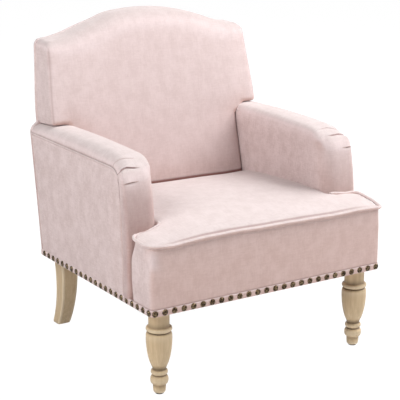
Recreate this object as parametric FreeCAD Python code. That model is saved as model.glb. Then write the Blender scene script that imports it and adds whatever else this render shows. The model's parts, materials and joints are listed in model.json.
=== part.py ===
"""Upholstered armchair with a camel back, tight seat, turned front legs and nailhead trim.

Millimetres.  +Z is up, the chair faces -Y and +X is its right-hand side seen from the front.
The model is drawn with Y = 0 on the front of the seat and is moved at the end, so that the
origin is on the floor under the centre of the whole chair.
"""
import FreeCAD, Part
import math
import os
from FreeCAD import Vector

os.makedirs("parts", exist_ok=True)

# ---------------------------------------------------------------- driving dimensions
SEAT_WIDTH = 660.0          # over the seat box and over both arms
BOX_BOTTOM = 208.0          # lower edge of the upholstery
BOX_DEPTH = 568.0           # seat front to rear face, at the lower edge
SEAT_EDGE_Z = 376.0         # seat welt at the front
SEAT_EDGE_SLOPE = 0.153     # the welt rises towards the arms
SEAT_CROWN_Z = 400.0
SEAT_REAR_Z = 388.0
EAR_DEPTH = 98.0            # the seat runs full width this far back, in front of the arms
EAR_FRONT_RADIUS = 16.0
EAR_REAR_RADIUS = 22.0
ARM_WIDTH = 86.0
ARM_TOP_Z = 556.0
ARM_PANEL_TOP_Z = 524.0     # welt along the outside of the arm
ARM_FRONT_Y = 100.0
ARM_LEAN_Z = 400.0          # the front of the arm is upright below this height
ARM_LEAN = 30.0
ARM_TURN_RADIUS = 60.0      # front of the arm into its top
ARM_REAR_RADIUS = 28.0
ARM_OUTER_RADIUS = 32.0     # along the top, outer edge
ARM_INNER_RADIUS = 24.0
ARM_FRONT_INNER_RADIUS = 34.0
ARM_FRONT_OUTER_RADIUS = 14.0
ARM_WELT_Y = 129.0          # foot of the welt in front of the outside panel
ARM_WELT_LEAN = 14.0
ARM_WELT_TURN = 46.0        # radius of the welt's upper front corner
BACK_RAKE = 13.7            # degrees, front of the back
BACK_FRONT_Y = 517.0        # front of the back where it passes over the arms
BACK_BOTTOM_Z = 560.0       # underside of the back over the arms
BACK_HALF_WIDTH = 311.0     # the back narrows slightly towards the top
BACK_TOP_HALF_WIDTH = 300.0
BACK_TOP_Z = 823.5          # crest of the camel back
DOME_RADIUS = 600.0
DOME_HALF_CHORD = 205.0
SHOULDER_RADIUS = 300.0
CREST_CORNER_RADIUS = 20.0
REAR_KINK_Y = 585.0         # the rear face leans back more above the seat
REAR_KINK_Z = 351.0
REAR_TOP_Y = 654.0

COVER = 2.5                 # upholstery fabric with its lining
CLEARANCE = 1.0             # between soft parts of neighbouring units
WELT_RADIUS = 3.5
ARM_WELT_RADIUS = 2.5
TRIM_HEIGHT = 16.0
TRIM_THICKNESS = 1.2
NAIL_PITCH = 25.4
NAIL_RADIUS = 6.2
NAIL_HEIGHT = 3.4
NAILS_FRONT = 26
NAILS_SIDE = 22

RAIL = 20.0                 # thickness of the rails
FRAME_BOTTOM = 212.0
RAIL_TOP = 318.0
FRAME_INSET = 13.0          # from the cover to the wood
POST_INNER_X = 262.0
POST_OUTER_X = 292.0
POST_DEPTH = 52.0           # from the rear face to the front of the back posts
POST_REAR_GAP = 10.0
POST_TOP_Z = 733.0
REAR_RAIL_Y = 530.0
SIDE_RAIL_REAR_Y = 552.0
ARM_POST_INNER_X = 270.0
ARM_POST_FRONT_Y = 136.0
ARM_POST_REAR_Y = 192.0
ARM_RAIL_BOTTOM = 514.0
ARM_RAIL_TOP = 534.0
ARM_RAIL_INNER_X = 258.0
ARM_RAIL_OUTER_X = 316.0
LOWER_RAIL_BOTTOM = 400.0
LOWER_RAIL_TOP = 450.0
BACK_RAIL_THICKNESS = 22.0
ARCH_BOTTOM_Z = 690.0
ARCH_INSET = 24.0
BLOCK_LEG = 62.0            # glue blocks in the corners of the seat frame
BLOCK_HEIGHT = 50.0
REAR_BLOCK_LEG = 45.0
SCREW_RADIUS = 2.2
SPRING_Z = 321.5
SPRING_WIRE_RADIUS = 2.0
SPRING_COUNT = 5
SPRING_PITCH = 92.0
SPRING_LOOPS = 17
SPRING_HALF_WIDTH = 24.0
STRAP_HEIGHT = 50.0
STRAP_THICKNESS = 2.0
FOAM_BOTTOM = 326.0

LEG_TOP = 209.0
GLIDE_HEIGHT = 3.0
GLIDE_RADIUS = 10.0
FRONT_LEG_INSET = 40.6      # leg axis from the side and from the front
REAR_LEG_X = 276.5
REAR_LEG_Y = 536.0
BOLT_RADIUS = 4.0
INSERT_RADIUS = 6.0
INSERT_TOP = 232.0
BOLT_FOOT = 178.0
BOLT_LENGTH = 66.0
SABRE_FRONT_Y = 514.0       # rear leg at its top
SABRE_DEPTH = 47.0
SABRE_INNER_X = 253.0
SABRE_WIDTH = 48.0
SABRE_SWEEP = 52.0          # how far the foot lies behind the top
SABRE_FOOT_DEPTH = 34.0
SABRE_FOOT_WIDTH = 35.0
SABRE_EDGE_RADIUS = 3.0
REAR_GLIDE_X = 271.5
REAR_GLIDE_Y = 583.0

HALF = SEAT_WIDTH / 2
ARM_INNER_X = HALF - ARM_WIDTH
DECK_HALF = ARM_INNER_X - CLEARANCE
DECK_REAR_Y = 454.0
RAKE_SLOPE = math.tan(math.radians(BACK_RAKE))
FAR = 1000.0                # larger than the chair, for cutting tools

pieces = {}


# ---------------------------------------------------------------- helpers
def block(x0, x1, y0, y1, z0, z1):
    return Part.makeBox(x1 - x0, y1 - y0, z1 - z0, Vector(x0, y0, z0))


def rounded_face(points, radii):
    """Flat face whose straight sides are joined by tangent arcs of the given radii."""
    corners = []
    for i, corner in enumerate(points):
        to_last = (points[i - 1] - corner).normalize()
        to_next = (points[(i + 1) % len(points)] - corner).normalize()
        if radii[i] == 0:
            corners.append((corner, None, corner))
            continue
        half = to_last.getAngle(to_next) / 2
        run = radii[i] / math.tan(half)
        middle = corner + (to_last + to_next).normalize() * (radii[i] / math.sin(half) - radii[i])
        corners.append((corner + to_last * run, middle, corner + to_next * run))
    edges = []
    for i, (start, middle, end) in enumerate(corners):
        if middle:
            edges.append(Part.Arc(start, middle, end).toShape())
        edges.append(Part.LineSegment(end, corners[(i + 1) % len(corners)][0]).toShape())
    return Part.Face(Part.Wire(edges))


def side_prism(outline, radii, x0, x1):
    """Outline in (y, z), carried across from x0 to x1."""
    points = [Vector(x0, y, z) for y, z in outline]
    return rounded_face(points, radii).extrude(Vector(x1 - x0, 0, 0))


def plan_prism(outline, radii, z0, z1):
    """Outline in (x, y), carried up from z0 to z1."""
    points = [Vector(x, y, z0) for x, y in outline]
    return rounded_face(points, radii).extrude(Vector(0, 0, z1 - z0))


def front_prism(outline, radii, y0, y1):
    """Outline in (x, z), carried back from y0 to y1."""
    points = [Vector(x, y0, z) for x, z in outline]
    return rounded_face(points, radii).extrude(Vector(0, y1 - y0, 0))


def cut_all(shape, tools):
    for tool in tools:
        shape = shape.cut(tool)
    return shape


def mirrored(shape):
    return shape.mirror(Vector(0, 0, 0), Vector(1, 0, 0))


def both_sides(name, right):
    pieces["right_" + name] = right
    pieces["left_" + name] = mirrored(right)


def rod(path_edges, start, direction, radius):
    """Round rod swept along joined edges."""
    section = Part.Wire(Part.makeCircle(radius, start, direction))
    return Part.Wire(path_edges).makePipeShell([section], True, True, 1)


def back_front_y(z):
    return BACK_FRONT_Y + RAKE_SLOPE * (z - BACK_BOTTOM_Z)


def rear_y(z):
    if z < REAR_KINK_Z:
        return BOX_DEPTH + (REAR_KINK_Y - BOX_DEPTH) * (z - BOX_BOTTOM) / (REAR_KINK_Z - BOX_BOTTOM)
    return REAR_KINK_Y + (REAR_TOP_Y - REAR_KINK_Y) * (z - REAR_KINK_Z) / (BACK_TOP_Z - REAR_KINK_Z)


def post_front_y(z):
    return rear_y(z) - POST_DEPTH


# ---------------------------------------------------------------- outer forms
def seat_form(inset):
    """T-shaped seat: full width in front of the arms, narrower between them."""
    wide = HALF - inset
    deck = DECK_HALF - inset
    ear = EAR_DEPTH - inset
    outline = [(-wide, inset), (wide, inset), (wide, ear), (deck, ear),
               (deck, DECK_REAR_Y), (-deck, DECK_REAR_Y), (-deck, ear), (-wide, ear)]
    front, rear = EAR_FRONT_RADIUS, EAR_REAR_RADIUS
    plan = plan_prism(outline, [front, front, rear, 0, 0, 0, 0, rear], FOAM_BOTTOM, FAR)
    ear_z = SEAT_EDGE_Z + SEAT_EDGE_SLOPE * EAR_DEPTH
    crown = [(-10, FOAM_BOTTOM), (-10, SEAT_EDGE_Z - inset), (EAR_DEPTH, ear_z - inset),
             (250, SEAT_CROWN_Z - inset), (DECK_REAR_Y, SEAT_REAR_Z - inset), (DECK_REAR_Y, FOAM_BOTTOM)]
    return plan.common(side_prism(crown, [0, 0, 300, 500, 0, 0], -HALF, HALF))


def front_form(inset, top_drop, bottom):
    """Upright block under the front of the seat, full width, with the two ears."""
    wide = HALF - inset
    outline = [(-wide, inset), (wide, inset), (wide, EAR_DEPTH - inset), (-wide, EAR_DEPTH - inset)]
    ear_z = SEAT_EDGE_Z + SEAT_EDGE_SLOPE * EAR_DEPTH
    side = [(-10, bottom), (-10, SEAT_EDGE_Z - top_drop), (EAR_DEPTH, ear_z - top_drop), (EAR_DEPTH, bottom)]
    front, rear = EAR_FRONT_RADIUS, EAR_REAR_RADIUS
    plan = plan_prism(outline, [front, front, rear, rear], bottom, FAR)
    return plan.common(side_prism(side, [0, 0, 0, 0], -HALF, HALF))


def arm_form(inset, bottom):
    """Right arm: a rounded slab whose front leans back and turns over into the top."""
    inner = ARM_INNER_X + inset
    outer = HALF - inset
    top = ARM_TOP_Z - inset
    front = ARM_FRONT_Y + inset
    rear = inset
    section = front_prism([(inner, bottom), (outer, bottom), (outer, top), (inner, top)],
                          [0, 0, ARM_OUTER_RADIUS - inset, ARM_INNER_RADIUS - inset], 0, FAR)
    side = side_prism([(front, bottom), (front, ARM_LEAN_Z), (front + ARM_LEAN, top),
                       (rear_y(ARM_TOP_Z) - rear - COVER, top),
                       (rear_y(REAR_KINK_Z) - rear - COVER, REAR_KINK_Z),
                       (rear_y(bottom) - rear - COVER, bottom)],
                      [0, 200, ARM_TURN_RADIUS - inset, ARM_REAR_RADIUS - inset, 0, 0], 0, FAR)
    plan = plan_prism([(inner, front), (outer, front), (outer, FAR), (inner, FAR)],
                      [ARM_FRONT_INNER_RADIUS - inset, ARM_FRONT_OUTER_RADIUS - inset, 0, 0], 0, FAR)
    return section.common(side).common(plan)


def camel_face(inset, bottom, y):
    """Front outline of the back above the arms: convex dome between two concave shoulders."""
    dome_centre = Vector(0, y, BACK_TOP_Z - DOME_RADIUS)
    rise = math.sqrt(DOME_RADIUS ** 2 - DOME_HALF_CHORD ** 2)
    to_tangent = Vector(DOME_HALF_CHORD, 0, rise) / DOME_RADIUS
    shoulder_centre = dome_centre + to_tangent * (DOME_RADIUS + SHOULDER_RADIUS)
    tangent = dome_centre + to_tangent * (DOME_RADIUS - inset)
    radius = SHOULDER_RADIUS + inset
    top_x = BACK_TOP_HALF_WIDTH - inset
    ear_x = top_x - CREST_CORNER_RADIUS
    ear_z = shoulder_centre.z - math.sqrt(radius ** 2 - (shoulder_centre.x - ear_x) ** 2)
    middle_x = (tangent.x + ear_x) / 2
    middle_z = shoulder_centre.z - math.sqrt(radius ** 2 - (shoulder_centre.x - middle_x) ** 2)
    foot_x = BACK_HALF_WIDTH - inset

    def at(x, z):
        return Vector(x, y, z)

    def corner(side):
        """Quarter turn from the shoulder down to the side of the back."""
        radius = CREST_CORNER_RADIUS
        turn = radius * math.sqrt(0.5)
        return Part.Arc(at(side * top_x, ear_z - radius),
                        at(side * (top_x - radius + turn), ear_z - radius + turn),
                        at(side * ear_x, ear_z)).toShape()

    edges = [Part.LineSegment(at(-foot_x, bottom), at(-top_x, ear_z - CREST_CORNER_RADIUS)).toShape(),
             corner(-1),
             Part.Arc(at(-ear_x, ear_z), at(-middle_x, middle_z), at(-tangent.x, tangent.z)).toShape(),
             Part.Arc(at(-tangent.x, tangent.z), at(0, BACK_TOP_Z - inset), tangent).toShape(),
             Part.Arc(tangent, at(middle_x, middle_z), at(ear_x, ear_z)).toShape(),
             corner(1),
             Part.LineSegment(at(top_x, ear_z - CREST_CORNER_RADIUS), at(foot_x, bottom)).toShape(),
             Part.LineSegment(at(foot_x, bottom), at(-foot_x, bottom)).toShape()]
    return Part.Face(Part.Wire(edges))


def back_form(inset):
    """Back: camel-shaped above the arms, and narrow enough to drop between them below."""
    upper = camel_face(inset, BACK_BOTTOM_Z + inset, 0).extrude(Vector(0, FAR, 0))
    lower = block(inset - DECK_HALF, DECK_HALF - inset, 0, FAR, FOAM_BOTTOM, BACK_BOTTOM_Z + 20)
    slab = side_prism([(back_front_y(0) + inset, 0), (back_front_y(FAR) + inset, FAR),
                       (rear_y(FAR) - COVER, FAR), (rear_y(REAR_KINK_Z) - COVER, REAR_KINK_Z),
                       (rear_y(0) - COVER, 0)], [0, 0, 0, 0, 0], -HALF, HALF)
    return upper.fuse(lower).common(slab)


def rear_layer(front_gap, rear_gap, x0, x1, z0, z1):
    """Slab that follows the rear face of the chair, between two distances in front of it."""
    heights = [z for z in (z0, REAR_KINK_Z, z1) if z0 <= z <= z1]
    front = [(rear_y(z) - front_gap, z) for z in heights]
    rear = [(rear_y(z) - rear_gap, z) for z in reversed(heights)]
    return side_prism(front + rear, [0] * (2 * len(heights)), x0, x1)


# ---------------------------------------------------------------- wooden frame
def leg_axes():
    """(x, y) of the four leg bolts."""
    front_x = HALF - FRONT_LEG_INSET
    return [(-front_x, FRONT_LEG_INSET), (front_x, FRONT_LEG_INSET),
            (-REAR_LEG_X, REAR_LEG_Y), (REAR_LEG_X, REAR_LEG_Y)]


def corner_block(x, y, x_run, y_run):
    """Glue block in the inside corner at (x, y)."""
    outline = [(x, y), (x + x_run, y), (x, y + y_run)]
    return plan_prism(outline, [0, 0, 0], FRAME_BOTTOM, FRAME_BOTTOM + BLOCK_HEIGHT)


def make_frame():
    rail_outer = HALF - FRAME_INSET
    rail_inner = rail_outer - RAIL
    front_face = FRAME_INSET + RAIL
    inserts = [Part.makeCylinder(INSERT_RADIUS, INSERT_TOP - FRAME_BOTTOM, Vector(x, y, FRAME_BOTTOM))
               for x, y in leg_axes()]
    bolts = [Part.makeCylinder(BOLT_RADIUS, BOLT_LENGTH, Vector(x, y, BOLT_FOOT)) for x, y in leg_axes()]

    pieces["front_rail"] = block(-rail_outer, rail_outer, FRAME_INSET, front_face, FRAME_BOTTOM, RAIL_TOP)
    pieces["rear_rail"] = block(-POST_INNER_X, POST_INNER_X, REAR_RAIL_Y, REAR_RAIL_Y + RAIL,
                                FRAME_BOTTOM, RAIL_TOP)
    side_rail = block(rail_inner, rail_outer, front_face, SIDE_RAIL_REAR_Y, FRAME_BOTTOM, RAIL_TOP)
    both_sides("side_rail", side_rail)

    arm_post = block(ARM_POST_INNER_X, POST_OUTER_X, ARM_POST_FRONT_Y, ARM_POST_REAR_Y,
                     FRAME_BOTTOM, ARM_RAIL_BOTTOM)
    both_sides("arm_post", arm_post)

    heights = (FRAME_BOTTOM, REAR_KINK_Z, POST_TOP_Z)
    post_rear = [(rear_y(z) - POST_REAR_GAP, z) for z in heights]
    post_front = [(post_front_y(z), z) for z in reversed(heights)]
    back_post = side_prism(post_rear + post_front, [0] * 6, POST_INNER_X, POST_OUTER_X)
    both_sides("back_post", cut_all(back_post, inserts + bolts))

    arm_top_rail = block(ARM_RAIL_INNER_X, ARM_RAIL_OUTER_X, ARM_POST_FRONT_Y + 26, 600,
                         ARM_RAIL_BOTTOM, ARM_RAIL_TOP).cut(back_post)
    arm_top_rail = arm_top_rail.common(block(0, FAR, 0, post_front_y(ARM_RAIL_BOTTOM) - 3, 0, FAR))
    both_sides("arm_top_rail", arm_top_rail)

    rail_rear = POST_DEPTH - BACK_RAIL_THICKNESS
    pieces["back_lower_rail"] = rear_layer(POST_DEPTH, rail_rear, -POST_INNER_X, POST_INNER_X,
                                           LOWER_RAIL_BOTTOM, LOWER_RAIL_TOP)
    arch = camel_face(ARCH_INSET, ARCH_BOTTOM_Z, 0).extrude(Vector(0, FAR, 0))
    arch = arch.common(rear_layer(POST_DEPTH, rail_rear, -HALF, HALF, ARCH_BOTTOM_Z - 10, BACK_TOP_Z))
    pieces["back_top_rail"] = cut_all(arch, [back_post, mirrored(back_post)])

    blocks = [corner_block(-rail_inner, front_face, BLOCK_LEG, BLOCK_LEG),
              corner_block(rail_inner, front_face, -BLOCK_LEG, BLOCK_LEG),
              corner_block(-POST_INNER_X, REAR_RAIL_Y, BLOCK_LEG, -REAR_BLOCK_LEG),
              corner_block(POST_INNER_X, REAR_RAIL_Y, -BLOCK_LEG, -REAR_BLOCK_LEG)]
    screws = []
    for side in (-1, 1):
        for height in (225, 249):
            head = Vector(side * (rail_inner - 33), front_face + 26, height)
            screws.append(Part.makeCylinder(SCREW_RADIUS, 44, head, Vector(side * 0.42, -0.91, 0)))
            second = head + Vector(side * 6, 6, 0)
            screws.append(Part.makeCylinder(SCREW_RADIUS, 40, second, Vector(side * 0.91, -0.42, 0)))
    screw_group = Part.makeCompound(screws)
    pieces["corner_block_screws"] = screw_group
    blocks = [cut_all(b, inserts + bolts + [screw_group]) for b in blocks]
    pieces["corner_blocks"] = Part.makeCompound(blocks)
    for name in ("front_rail", "left_side_rail", "right_side_rail"):
        pieces[name] = cut_all(pieces[name], [screw_group] + inserts)
    pieces["threaded_inserts"] = Part.makeCompound([cut_all(i, bolts) for i in inserts])
    pieces["hanger_bolts"] = Part.makeCompound(bolts)
    return bolts


# ---------------------------------------------------------------- springs and webbing
def spring_path(x, y0, y1, loops, half_width):
    """Flat zig-zag of straight bars joined by half turns."""
    pitch = (y1 - y0) / loops
    turn = pitch / 2
    bar = half_width - turn / 2
    edges = []
    y = y0
    side = -1
    start = Vector(x, y0, SPRING_Z)
    for _ in range(loops):
        end = Vector(x + side * bar, y, SPRING_Z)
        edges.append(Part.LineSegment(start, end).toShape())
        bulge = Vector(x + side * (bar + turn), y + turn, SPRING_Z)
        start = Vector(x + side * bar, y + pitch, SPRING_Z)
        edges.append(Part.Arc(end, bulge, start).toShape())
        y += pitch
        side = -side
    edges.append(Part.LineSegment(start, Vector(x, y, SPRING_Z)).toShape())
    return edges


def make_suspension():
    springs = []
    clips = []
    first = FRAME_INSET + 8
    last = REAR_RAIL_Y + 12
    for i in range(SPRING_COUNT):
        x = (i - (SPRING_COUNT - 1) / 2) * SPRING_PITCH
        path = spring_path(x, first, last, SPRING_LOOPS, SPRING_HALF_WIDTH)
        springs.append(rod(path, Vector(x, first, SPRING_Z), Vector(1, 0, 0), SPRING_WIRE_RADIUS))
        for y in (first, last):
            clips.append(block(x - 12, x + 12, y - 6, y + 6, RAIL_TOP, SPRING_Z + 3.2).cut(springs[-1]))
    pieces["seat_springs"] = Part.makeCompound(springs)
    pieces["spring_clips"] = Part.makeCompound(clips)
    felt = block(4 - ARM_INNER_X, ARM_INNER_X - 4, FRAME_INSET + 2, DECK_REAR_Y - 2,
                 SPRING_Z + 3.4, FOAM_BOTTOM - 0.1)
    pieces["spring_felt"] = felt
    strap_x = POST_OUTER_X - 6
    straps = [rear_layer(POST_DEPTH + STRAP_THICKNESS, POST_DEPTH, -strap_x, strap_x, z, z + STRAP_HEIGHT)
              for z in (470, 545, 620)]
    pieces["back_webbing"] = Part.makeCompound(straps)


# ---------------------------------------------------------------- padding and covers
def make_seat():
    foam = seat_form(COVER)
    ear_z = SEAT_EDGE_Z + SEAT_EDGE_SLOPE * EAR_DEPTH
    welt_points = [(-DECK_HALF + 6, EAR_DEPTH), (-HALF, EAR_DEPTH), (-HALF, 0), (HALF, 0), (HALF, EAR_DEPTH),
                   (DECK_HALF - 6, EAR_DEPTH)]
    front, rear = EAR_FRONT_RADIUS, EAR_REAR_RADIUS
    welt = welt_rod(welt_points, [rear, front, front, rear], WELT_RADIUS)
    pieces["seat_welt"] = welt
    pieces["seat_foam"] = foam.cut(welt)
    under_edge = side_prism([(-20, FOAM_BOTTOM - 1), (-20, SEAT_EDGE_Z - 5), (EAR_DEPTH, ear_z - 5),
                             (EAR_DEPTH, FOAM_BOTTOM - 1)], [0] * 4, -HALF - 10, HALF + 10)
    pieces["seat_top_cover"] = cut_all(seat_form(0), [foam, under_edge, welt])
    band = front_form(0, 5, BOX_BOTTOM).cut(front_form(COVER, -20, BOX_BOTTOM))
    behind = block(-HALF + 30, HALF - 30, 60, FAR, 0, FAR)
    rails = [pieces[n] for n in ("front_rail", "left_side_rail", "right_side_rail")]
    pieces["seat_front_band"] = cut_all(band, [behind, welt] + rails)
    pad = front_form(COVER, 0, FRAME_BOTTOM).cut(front_form(FRAME_INSET - 0.5, -20, FRAME_BOTTOM))
    pad = cut_all(pad, [block(-HALF, HALF, -10, FAR, FOAM_BOTTOM - 0.2, FAR),
                        block(-HALF + FRAME_INSET, HALF - FRAME_INSET, 40, FAR, 0, FAR)])
    pieces["front_border_pad"] = cut_all(pad, rails)


def welt_rod(points, radii, radius):
    """Welt round the front of the seat, drawn level and then tilted to the seat edge."""
    corners = [Vector(x, y, 0) for x, y in points]
    edges = []
    last = corners[0]
    for i in range(1, len(corners) - 1):
        to_last = (corners[i - 1] - corners[i]).normalize()
        to_next = (corners[i + 1] - corners[i]).normalize()
        half = to_last.getAngle(to_next) / 2
        run = radii[i - 1] / math.tan(half)
        start = corners[i] + to_last * run
        end = corners[i] + to_next * run
        middle = corners[i] + (to_last + to_next).normalize() * (radii[i - 1] / math.sin(half) - radii[i - 1])
        edges.append(Part.LineSegment(last, start).toShape())
        edges.append(Part.Arc(start, middle, end).toShape())
        last = end
    edges.append(Part.LineSegment(last, corners[-1]).toShape())
    welt = rod(edges, corners[0], corners[1] - corners[0], radius)
    welt.rotate(Vector(0, 0, 0), Vector(1, 0, 0), math.degrees(math.atan(SEAT_EDGE_SLOPE)))
    welt.translate(Vector(0, 0, SEAT_EDGE_Z))
    return welt


def outside_outline(grow):
    """Outline in (y, z) of the flat outside panel under the arm welt, with its corner radii."""
    top = ARM_PANEL_TOP_Z + grow
    outline = [(ARM_WELT_Y - grow, BOX_BOTTOM), (ARM_WELT_Y + ARM_WELT_LEAN - grow, top),
               (rear_y(top) - COVER, top),
               (rear_y(REAR_KINK_Z) - COVER, REAR_KINK_Z), (rear_y(BOX_BOTTOM) - COVER, BOX_BOTTOM)]
    return outline, [0, ARM_WELT_TURN, 0, 0, 0]


def make_arms():
    outline, radii = outside_outline(0)
    panel = side_prism(outline, radii, HALF - COVER, HALF)
    board = side_prism(outline, radii, HALF - COVER - 3, HALF - COVER)
    board = board.common(block(0, FAR, ARM_WELT_Y + 4, SIDE_RAIL_REAR_Y + 8, FRAME_BOTTOM, ARM_PANEL_TOP_Z - 6))

    start = Vector(HALF, outline[0][0], BOX_BOTTOM + TRIM_HEIGHT)
    corner = Vector(HALF, outline[1][0], outline[1][1])
    end = Vector(HALF, outline[2][0] - 4, outline[2][1])
    to_last = (Vector(HALF, *outline[0]) - corner).normalize()
    to_next = (end - corner).normalize()
    half = to_last.getAngle(to_next) / 2
    run = radii[1] / math.tan(half)
    middle = corner + (to_last + to_next).normalize() * (radii[1] / math.sin(half) - radii[1])
    foot = corner + to_last * ((corner.z - start.z) / abs(to_last.z))
    edges = [Part.LineSegment(foot, corner + to_last * run).toShape(),
             Part.Arc(corner + to_last * run, middle, corner + to_next * run).toShape(),
             Part.LineSegment(corner + to_next * run, end).toShape()]
    welt = rod(edges, foot, to_last * -1, ARM_WELT_RADIUS)

    inner = arm_form(COVER, FRAME_BOTTOM)
    under = block(0, FAR, ARM_WELT_Y + 9, FAR, 0, RAIL_TOP + 0.2)
    pad = inner.cut(under)
    inside = [pieces[n] for n in ("right_side_rail", "right_arm_post", "right_arm_top_rail", "right_back_post",
                                  "back_lower_rail", "back_webbing")]
    pad = cut_all(pad, inside + [board])
    outer = arm_form(0, BOX_BOTTOM)
    open_side = side_prism(outline, radii, HALF - COVER - 0.1, HALF + 10)
    below = block(0, FAR, ARM_FRONT_Y + COVER, FAR, 0, FRAME_BOTTOM)
    cover = cut_all(outer, [inner, under, open_side, welt, below, pieces["seat_welt"]] + inside)
    both_sides("arm_pad", pad)
    both_sides("arm_cover", cover)
    both_sides("side_board", board)
    both_sides("outside_arm_panel", panel.cut(welt))
    both_sides("arm_welt", welt)


def make_back():
    outer = back_form(0)
    inner = back_form(COVER)
    hollow = rear_layer(POST_DEPTH, -20, -DECK_HALF, DECK_HALF, FOAM_BOTTOM - 10, ARCH_BOTTOM_Z)
    wood = [pieces[n] for n in ("left_back_post", "right_back_post", "back_lower_rail", "back_top_rail")]
    inside = wood + [pieces["back_webbing"]]
    pieces["back_cover"] = cut_all(outer, [inner] + inside)
    pieces["back_foam"] = cut_all(inner, inside + [hollow])

    upper = camel_face(0, BACK_BOTTOM_Z, 0).extrude(Vector(0, FAR, 0))
    arm_top = ARM_TOP_Z - 2
    lower = front_prism([(-HALF, BOX_BOTTOM), (HALF, BOX_BOTTOM), (HALF, arm_top), (-HALF, arm_top)],
                        [0, 0, ARM_OUTER_RADIUS - 2, ARM_OUTER_RADIUS - 2], 0, FAR)
    neck = block(-DECK_HALF, DECK_HALF, 0, FAR, ARM_TOP_Z - 20, BACK_BOTTOM_Z + 20)
    outline = upper.fuse(lower).fuse(neck)
    pieces["outside_back_panel"] = outline.common(rear_layer(COVER, 0, -HALF, HALF, BOX_BOTTOM, BACK_TOP_Z))


# ---------------------------------------------------------------- trim
def nail(x, y, direction):
    """Domed nail head standing on the trim at (x, y), half-way up it."""
    sphere_radius = (NAIL_RADIUS ** 2 + NAIL_HEIGHT ** 2) / (2 * NAIL_HEIGHT)
    foot = Vector(x, y, BOX_BOTTOM + TRIM_HEIGHT / 2)
    ball = Part.makeSphere(sphere_radius, foot - direction * (sphere_radius - NAIL_HEIGHT))
    return ball.common(Part.makeCylinder(NAIL_RADIUS + 1, NAIL_HEIGHT + 1, foot, direction))


def make_trim():
    top = BOX_BOTTOM + TRIM_HEIGHT
    front = -TRIM_THICKNESS
    edge = HALF + TRIM_THICKNESS
    pieces["front_nail_trim"] = block(-edge, edge, front, 0, BOX_BOTTOM, top)
    both_sides("nail_trim", block(HALF, edge, 0, BOX_DEPTH - COVER, BOX_BOTTOM, top))
    first = -(NAILS_FRONT - 1) / 2 * NAIL_PITCH
    heads = [nail(first + i * NAIL_PITCH, front, Vector(0, -1, 0)) for i in range(NAILS_FRONT)]
    pieces["front_nailheads"] = Part.makeCompound(heads)
    side_heads = [nail(edge, NAIL_PITCH / 2 + i * NAIL_PITCH, Vector(1, 0, 0)) for i in range(NAILS_SIDE)]
    both_sides("nailheads", Part.makeCompound(side_heads))


# ---------------------------------------------------------------- legs
def turned_leg():
    """Turned leg about the Z axis: neck, ring, vase, collar, bulb and plain foot."""
    def at(radius, z):
        return Vector(radius, 0, z)

    vase = Part.BSplineCurve()
    vase.interpolate([at(15.9, 63.5), at(22.0, 79), at(28.3, 103.5), at(31.0, 128), at(28.5, 147)])
    edges = [Part.LineSegment(at(0, GLIDE_HEIGHT), at(12.5, GLIDE_HEIGHT)).toShape(),
             Part.LineSegment(at(12.5, GLIDE_HEIGHT), at(15.3, 8)).toShape(),
             Part.LineSegment(at(15.3, 8), at(16.0, 24)).toShape(),
             Part.Arc(at(16.0, 24), at(21.8, 35.5), at(17.0, 46)).toShape(),
             Part.LineSegment(at(17.0, 46), at(17.0, 49.5)).toShape(),
             Part.Arc(at(17.0, 49.5), at(20.3, 54.7), at(17.0, 60)).toShape(),
             Part.LineSegment(at(17.0, 60), at(15.9, 63.5)).toShape(),
             vase.toShape(),
             Part.LineSegment(at(28.5, 147), at(26.8, 150)).toShape(),
             Part.LineSegment(at(26.8, 150), at(26.8, 153)).toShape(),
             Part.Arc(at(26.8, 153), at(31.3, 159.5), at(26.8, 166)).toShape(),
             Part.LineSegment(at(26.8, 166), at(24.0, 168)).toShape(),
             Part.LineSegment(at(24.0, 168), at(24.0, LEG_TOP)).toShape(),
             Part.LineSegment(at(24.0, LEG_TOP), at(0, LEG_TOP)).toShape(),
             Part.LineSegment(at(0, LEG_TOP), at(0, GLIDE_HEIGHT)).toShape()]
    return Part.Face(Part.Wire(edges)).revolve(Vector(0, 0, 0), Vector(0, 0, 1), 360)


def sabre_leg():
    """Right rear leg: square, tapering, and sweeping out to the rear."""
    sections = []
    height = LEG_TOP - GLIDE_HEIGHT
    steps = 5
    for i in range(steps):
        down = i / (steps - 1)
        z = LEG_TOP - height * down
        inner = SABRE_INNER_X + down
        outer = inner + SABRE_WIDTH + (SABRE_FOOT_WIDTH - SABRE_WIDTH) * down
        front = SABRE_FRONT_Y - 6.0 * down + (SABRE_SWEEP + 6.0) * down ** 2.4
        rear = front + SABRE_DEPTH + (SABRE_FOOT_DEPTH - SABRE_DEPTH) * down
        corners = [(inner, front), (outer, front), (outer, rear), (inner, rear)]
        outline = [Vector(x, y, z) for x, y in corners]
        sections.append(rounded_face(outline, [SABRE_EDGE_RADIUS] * 4).OuterWire)
    return Part.makeLoft(sections, True, False)


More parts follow.
